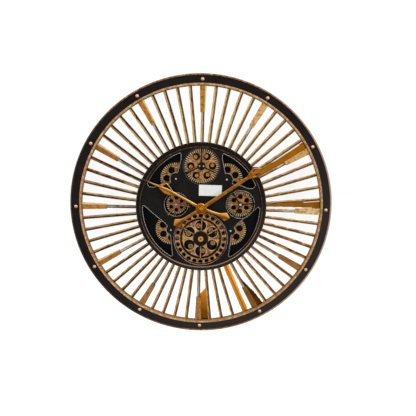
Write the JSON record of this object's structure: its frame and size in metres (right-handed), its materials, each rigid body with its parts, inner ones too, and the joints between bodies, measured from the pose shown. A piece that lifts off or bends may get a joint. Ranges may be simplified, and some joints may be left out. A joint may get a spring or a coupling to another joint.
{
  "type": "sunburst wall clock",
  "caption": "Round wall clock with a sunburst of mirror strips and bronze bars, a central drum of turning gears and two cast hands.",
  "frame": {"origin": "on the hands' axis at the back face that rests on the wall", "axes": "+X towards three o'clock, +Y into the wall, +Z towards twelve o'clock"},
  "size_m": [0.6019, 0.0542, 0.602],
  "materials": {
    "rim_black": "matte black baked paint",
    "copper_edge": "antique copper rubbed paint",
    "rivet_copper": "antique copper",
    "rubber": "matte",
    "backing": "matte black sheet",
    "mirror": "polished silvered glass",
    "bar_bronze": "antique bronze with dark wash",
    "gold_leaf": "brushed antique gold",
    "drum_black": "satin black paint with rubbed edges",
    "bezel_bronze": "rubbed bronze paint",
    "dial_black": "matte black paint",
    "trim_grey": "worn pewter",
    "sheet_black": "matte black sheet",
    "zinc": "zinc plated",
    "steel": "turned steel",
    "paper": "plain white",
    "gear_gold": "antique gold with brown wash",
    "bridge_black": "satin black paint",
    "bridge_bronze": "antique bronze",
    "brass": "turned brass",
    "black_plastic": "fine spark texture",
    "white_plastic": "moulded acetal",
    "motor_steel": "drawn steel can",
    "copper_coil": "enamelled copper winding",
    "cell_sleeve": "printed sleeve, plain",
    "wire_black": "pvc insulation",
    "hand_bronze": "antique orange gold, cast"
  },
  "bodies": {
    "clock_case": {"outer_ring": "rim_black", "outer_bead": "copper_edge", "inner_bead": "copper_edge", "rim_rivets": "rivet_copper", "wall_pads": "rubber", "backing_disc": "backing", "mirror_panels": "mirror", "minute_bars": "bar_bronze", "hour_bars": "bar_bronze", "hour_plates": "gold_leaf", "drum_shell": "drum_black", "bezel_ring": "bezel_bronze", "dial_plate": "dial_black", "cutout_trims": "trim_grey", "rear_can": "sheet_black", "gear_plate": "sheet_black", "plate_pillars": "steel", "case_screws": "zinc", "rear_cover": "sheet_black", "label_sticker": "paper", "gear_studs": "steel", "top_bridge": "bridge_black", "left_bridge": "bridge_bronze", "right_bridge": "bridge_black", "bridge_screws": "zinc", "drive_motor": "motor_steel", "motor_case": "black_plastic", "movement_case": "black_plastic", "movement_cover": "black_plastic", "threaded_bushing": "brass", "hex_nut": "brass", "movement_coil": "copper_coil", "aa_cells": "cell_sleeve", "cell_terminals": "steel", "battery_box": "black_plastic", "lead_wires": "wire_black"},
    "minute_train": {"minute_arbor": "brass", "minute_hand": "hand_bronze", "hand_cap": "hand_bronze"},
    "hour_train": {"hour_pipe": "brass", "hour_hand": "hand_bronze"},
    "setting_train": {"setting_arbor": "white_plastic", "set_knob": "black_plastic"},
    "bottom_train": {"bottom_arbor": "brass", "bottom_wheel": "gear_gold", "bottom_planets": "gear_gold", "bottom_disc": "gear_gold", "bottom_gear": "gear_gold", "bottom_hub": "bridge_black", "motor_wheel": "white_plastic"},
    "motor_rotor": {"motor_pinion": "brass"},
    "lower_left_train": {"corner_gear_lower_left": "gear_gold"},
    "lower_right_train": {"corner_gear_lower_right": "gear_gold"},
    "right_train": {"right_gear": "gear_gold"},
    "upper_right_train": {"corner_gear_upper_right": "gear_gold"},
    "top_train": {"top_wheel": "gear_gold", "top_gear": "gear_gold"},
    "upper_left_train": {"corner_gear_upper_left": "gear_gold"},
    "left_train": {"left_gear": "gear_gold"},
    "switch_slider": {"power_switch": "white_plastic"}
  },
  "joints": [
    {"name": "minute_hand_turn", "type": "hinge", "parent": "clock_case", "child": "minute_train", "pos_m": [0, 0, 0], "axis": [0, 1, 0], "continuous": true},
    {"name": "hour_hand_turn", "type": "hinge", "parent": "clock_case", "child": "hour_train", "pos_m": [0, 0, 0], "axis": [0, 1, 0], "continuous": true},
    {"name": "set_knob_turn", "type": "hinge", "parent": "clock_case", "child": "setting_train", "pos_m": [0, 0, -0.012], "axis": [0, 1, 0], "continuous": true},
    {"name": "bottom_gear_turn", "type": "hinge", "parent": "clock_case", "child": "bottom_train", "pos_m": [0, 0, -0.073], "axis": [0, 1, 0], "continuous": true},
    {"name": "motor_turn", "type": "hinge", "parent": "clock_case", "child": "motor_rotor", "pos_m": [0.01527, 0, -0.08827], "axis": [0, 1, 0], "continuous": true},
    {"name": "lower_left_gear_turn", "type": "hinge", "parent": "clock_case", "child": "lower_left_train", "pos_m": [-0.06903, 0, -0.05255], "axis": [0, 1, 0], "continuous": true},
    {"name": "lower_right_gear_turn", "type": "hinge", "parent": "clock_case", "child": "lower_right_train", "pos_m": [0.06903, 0, -0.05255], "axis": [0, 1, 0], "continuous": true},
    {"name": "right_gear_turn", "type": "hinge", "parent": "clock_case", "child": "right_train", "pos_m": [0.08996, 0, 0.00962], "axis": [0, 1, 0], "continuous": true},
    {"name": "upper_right_gear_turn", "type": "hinge", "parent": "clock_case", "child": "upper_right_train", "pos_m": [0.05766, 0, 0.06672], "axis": [0, 1, 0], "continuous": true},
    {"name": "top_gear_turn", "type": "hinge", "parent": "clock_case", "child": "top_train", "pos_m": [0, 0, 0.0963], "axis": [0, 1, 0], "continuous": true},
    {"name": "upper_left_gear_turn", "type": "hinge", "parent": "clock_case", "child": "upper_left_train", "pos_m": [-0.05766, 0, 0.06672], "axis": [0, 1, 0], "continuous": true},
    {"name": "left_gear_turn", "type": "hinge", "parent": "clock_case", "child": "left_train", "pos_m": [-0.05704, 0, 0.00752], "axis": [0, 1, 0], "continuous": true},
    {"name": "power_switch_slide", "type": "slide", "parent": "clock_case", "child": "switch_slider", "axis": [1, 0, 0], "range_m": [0, 0.004]}
  ],
  "couplings": [
    {"joint": "hour_hand_turn", "follows": "minute_hand_turn", "ratio": 0.083333},
    {"joint": "set_knob_turn", "follows": "minute_hand_turn", "ratio": -0.33333},
    {"joint": "motor_turn", "follows": "bottom_gear_turn", "ratio": -5},
    {"joint": "lower_left_gear_turn", "follows": "bottom_gear_turn", "ratio": -1},
    {"joint": "lower_right_gear_turn", "follows": "bottom_gear_turn", "ratio": -1},
    {"joint": "right_gear_turn", "follows": "bottom_gear_turn", "ratio": 1.2162},
    {"joint": "upper_right_gear_turn", "follows": "bottom_gear_turn", "ratio": -1},
    {"joint": "top_gear_turn", "follows": "bottom_gear_turn", "ratio": 1.25},
    {"joint": "upper_left_gear_turn", "follows": "bottom_gear_turn", "ratio": -1},
    {"joint": "left_gear_turn", "follows": "bottom_gear_turn", "ratio": 1.5517}
  ]
}
